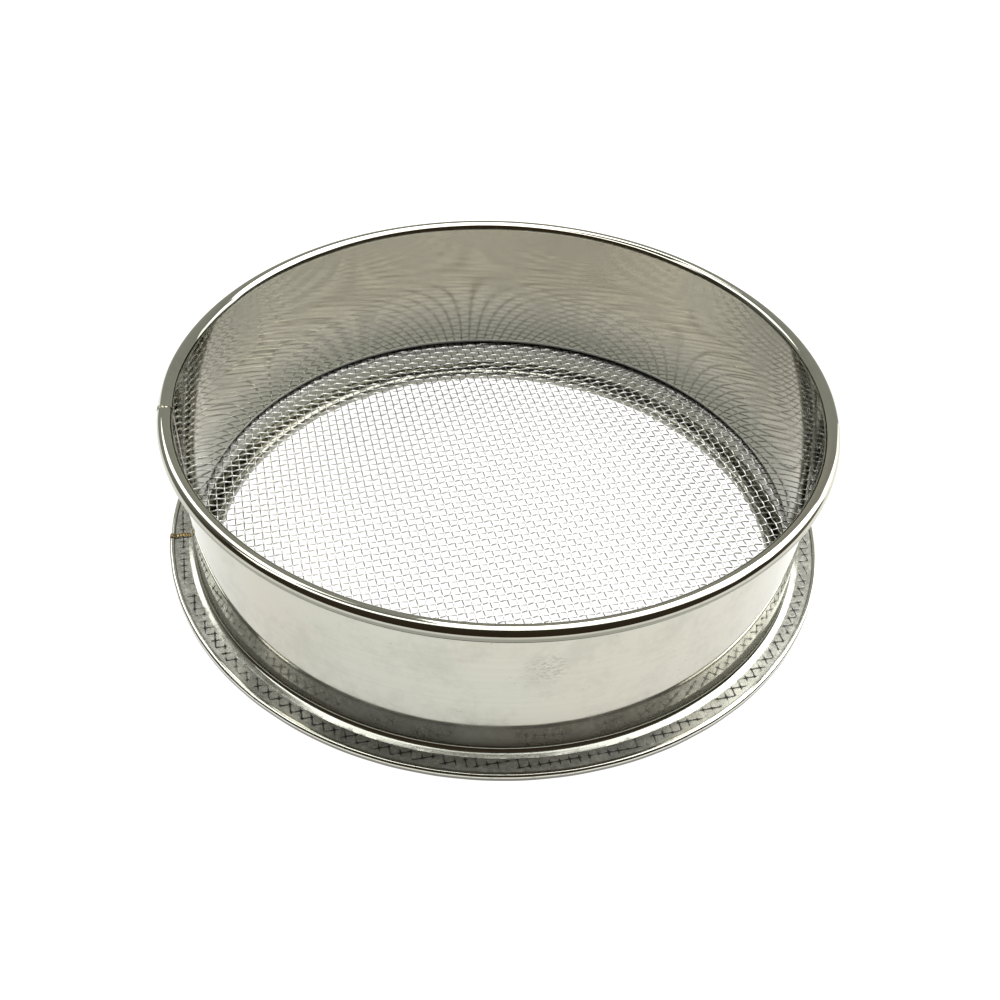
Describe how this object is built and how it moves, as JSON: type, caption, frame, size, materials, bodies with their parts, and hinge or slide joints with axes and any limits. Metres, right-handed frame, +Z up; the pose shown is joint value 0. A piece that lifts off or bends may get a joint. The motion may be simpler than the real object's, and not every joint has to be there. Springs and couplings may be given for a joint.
{
  "type": "soil sieve",
  "caption": "Round stainless soil sieve: a drum with a rolled rim, woven wire cloth clamped between hemmed flanges and a skirt below.",
  "frame": {"origin": "centre of the circle the rolled foot stands on", "axes": "+Z up along the drum axis, -Y towards the front; the sheet seam is at the left, 12 degrees forward of -X"},
  "size_m": [0.313, 0.313, 0.1001],
  "materials": {
    "polished_sheet": "bright rolled stainless sheet, nearly a mirror, with faint smudges",
    "flange_sheet": "stainless sheet dulled by seam welding, with the cloth printed through it",
    "hem_sheet": "bright rolled stainless edge",
    "cloth_wire": "drawn stainless wire, satin",
    "wall_weld": "planished seam weld, faintly straw tinted",
    "rim_weld": "ground seam weld with small lumps",
    "tinted_weld": "rough seam weld, brown and straw heat tint"
  },
  "bodies": {
    "root": {"rim_curl": "polished_sheet", "drum_wall": "polished_sheet", "upper_flange": "flange_sheet", "rim_seam_weld": "rim_weld", "wall_seam_weld": "wall_weld", "flange_seam_weld": "tinted_weld", "hem_seam_weld": "tinted_weld", "lower_flange": "flange_sheet", "lower_skirt": "polished_sheet", "foot_curl": "polished_sheet", "edge_hem": "hem_sheet", "cloth_warp_1": "cloth_wire", "cloth_warp_2": "cloth_wire", "cloth_warp_3": "cloth_wire", "cloth_warp_4": "cloth_wire", "cloth_warp_5": "cloth_wire", "cloth_weft_1": "cloth_wire", "cloth_weft_2": "cloth_wire", "cloth_weft_3": "cloth_wire", "cloth_weft_4": "cloth_wire", "cloth_weft_5": "cloth_wire"}
  },
  "joints": []
}
